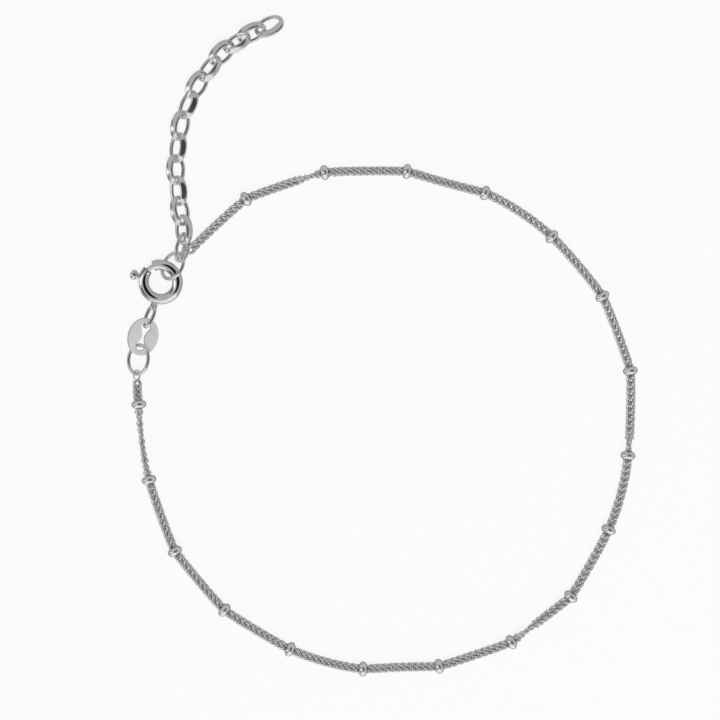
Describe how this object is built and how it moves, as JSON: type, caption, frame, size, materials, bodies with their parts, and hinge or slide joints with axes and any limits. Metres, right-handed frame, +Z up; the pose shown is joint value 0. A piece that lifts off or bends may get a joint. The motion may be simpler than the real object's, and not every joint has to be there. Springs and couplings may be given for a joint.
{
  "type": "payal anklet",
  "caption": "Fine silver curb chain anklet with small turned beads, a slotted oval tag, a bolt ring clasp and an extender of oval links, lying fastened on a flat surface.",
  "frame": {"origin": "centre of the outline, on the surface that the anklet lies on", "axes": "+Z up from the surface, +Y toward the free end of the extender, along the longest extent"},
  "size_m": [0.0741, 0.0959, 0.0031],
  "materials": {
    "chain_silver": "polished silver links",
    "bead_silver": "polished silver",
    "bright_silver": "polished silver",
    "satin_silver": "silver with a soft satin sheen"
  },
  "bodies": {
    "anklet": {"curb_chain": "chain_silver", "satellite_bead_01": "bead_silver", "satellite_bead_02": "bead_silver", "satellite_bead_03": "bead_silver", "satellite_bead_04": "bead_silver", "satellite_bead_05": "bead_silver", "satellite_bead_06": "bead_silver", "satellite_bead_07": "bead_silver", "satellite_bead_08": "bead_silver", "satellite_bead_09": "bead_silver", "satellite_bead_10": "bead_silver", "satellite_bead_11": "bead_silver", "satellite_bead_12": "bead_silver", "satellite_bead_13": "bead_silver", "satellite_bead_14": "bead_silver", "satellite_bead_15": "bead_silver", "satellite_bead_16": "bead_silver", "satellite_bead_17": "bead_silver", "satellite_bead_18": "bead_silver", "chain_end_link_01": "chain_silver", "chain_end_link_02": "chain_silver", "end_ring": "bright_silver", "tag": "satin_silver", "clasp_link": "bright_silver", "bolt_ring_body": "bright_silver", "catch_ring": "bright_silver", "extender_link_01": "satin_silver", "extender_link_02": "satin_silver", "extender_link_03": "satin_silver", "extender_link_04": "satin_silver", "extender_link_05": "satin_silver", "extender_link_06": "satin_silver", "extender_link_07": "satin_silver", "extender_link_08": "satin_silver", "extender_link_09": "satin_silver", "extender_link_10": "satin_silver", "extender_link_11": "satin_silver", "extender_link_12": "satin_silver", "extender_link_13": "satin_silver", "extender_link_14": "satin_silver"},
    "trigger": {"bolt_ring_trigger": "bright_silver"}
  },
  "joints": [
    {"name": "trigger_turn", "type": "hinge", "parent": "anklet", "child": "trigger", "pos_m": [-0.03186, 0.0093, 0.00116], "axis": [-0.0964, -0.1326, 0.9865], "range_deg": [0, 33], "stiffness_Nm_per_rad": 0.002, "springref_deg": -17.19}
  ]
}
